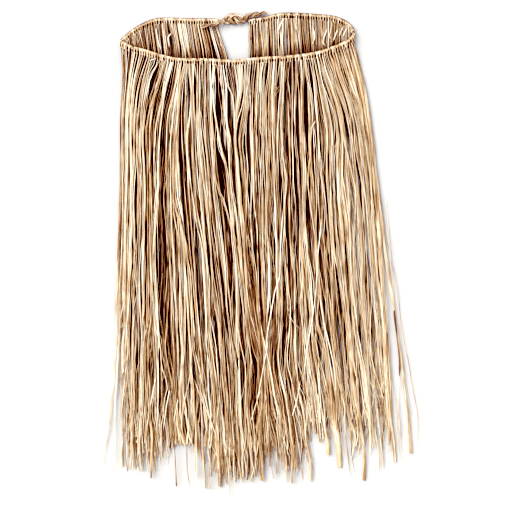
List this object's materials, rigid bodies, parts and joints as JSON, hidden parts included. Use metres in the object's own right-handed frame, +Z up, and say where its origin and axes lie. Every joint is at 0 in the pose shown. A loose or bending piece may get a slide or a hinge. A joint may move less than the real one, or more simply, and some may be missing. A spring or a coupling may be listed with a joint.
{
  "type": "grass skirt",
  "caption": "Raffia grass skirt laid flat: a corded waist with a long hitched fringe all round, open at the back, where the cord's two ends are tied in a half knot.",
  "frame": {"origin": "on the surface that the skirt lies on, under the middle of its outline without the two tie cords", "axes": "+Y from the hem to the waist, +Z up from the surface, out of the skirt's front, +X to the right of someone who looks down on the front with the waist at the top"},
  "size_m": [0.5266, 0.8203, 0.0155],
  "materials": {
    "cord": "twisted raffia, dry and matt",
    "raffia_front": "dry leaf fibre with a soft gloss",
    "raffia_back": "dry leaf fibre with a soft gloss"
  },
  "bodies": {
    "root": {"waist_cord": "cord", "fringe_front": "raffia_front", "fringe_back_left": "raffia_back", "fringe_back_right": "raffia_back", "tie_from_left": "cord", "tie_from_right": "cord"}
  },
  "joints": []
}
